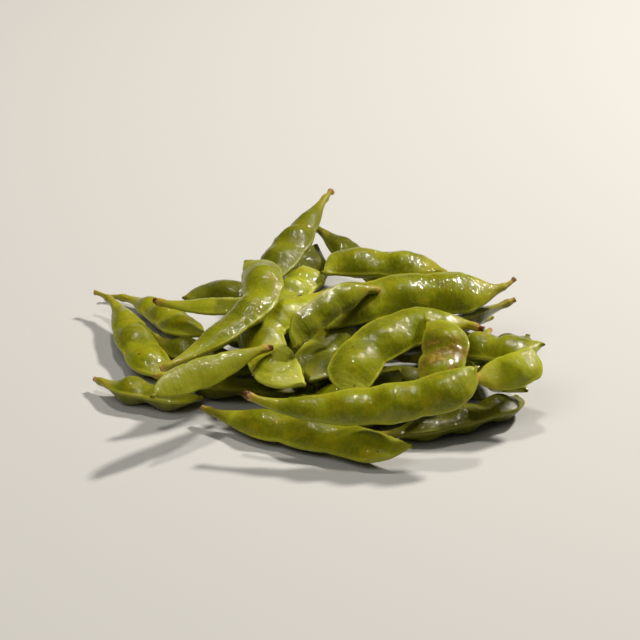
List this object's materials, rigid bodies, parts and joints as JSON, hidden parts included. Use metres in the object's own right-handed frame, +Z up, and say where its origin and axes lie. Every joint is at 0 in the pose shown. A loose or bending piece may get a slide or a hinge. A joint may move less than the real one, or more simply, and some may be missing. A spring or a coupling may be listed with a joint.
{
  "type": "edamame pod bundle",
  "caption": "Loose heap of boiled edamame, whole green soybean pods lying one over another, which rests on a table or in a bowl.",
  "frame": {"origin": "bottom centre of the bounding box, on the surface that the heap lies on", "axes": "+Z up; -Y is the side that the heap is seen from; +X to the right seen from there"},
  "size_m": [0.1388, 0.1576, 0.0322],
  "materials": {
    "pale_pod": "wet boiled pod skin, pale, glossy",
    "green_pod": "wet boiled pod skin, olive green, glossy",
    "deep_pod": "wet boiled pod skin, deep olive, glossy"
  },
  "bodies": {
    "root": {"left_low": "green_pod", "left_under": "deep_pod", "left_back": "green_pod", "left_tail": "green_pod", "left_far": "deep_pod", "back_prop": "deep_pod", "back_low": "deep_pod", "right_behind": "deep_pod", "front_under": "deep_pod", "front_fill": "deep_pod", "right_stub": "green_pod", "back_under": "pale_pod", "left_edge": "pale_pod", "back_tip": "green_pod", "centre_under": "green_pod", "right_under": "deep_pod", "centre_kinked": "pale_pod", "right_big": "green_pod", "back_flat": "green_pod", "centre_thin": "green_pod", "left_cross": "green_pod", "front_rim": "green_pod", "right_back": "green_pod", "right_front": "pale_pod", "centre_arch": "green_pod", "blotched": "green_pod", "left_leaf": "pale_pod", "front_long": "green_pod", "packed_01": "green_pod", "packed_02": "deep_pod", "packed_03": "deep_pod", "packed_04": "green_pod", "packed_05": "deep_pod", "packed_06": "deep_pod", "packed_07": "green_pod", "packed_11": "deep_pod", "packed_17": "green_pod"}
  },
  "joints": []
}
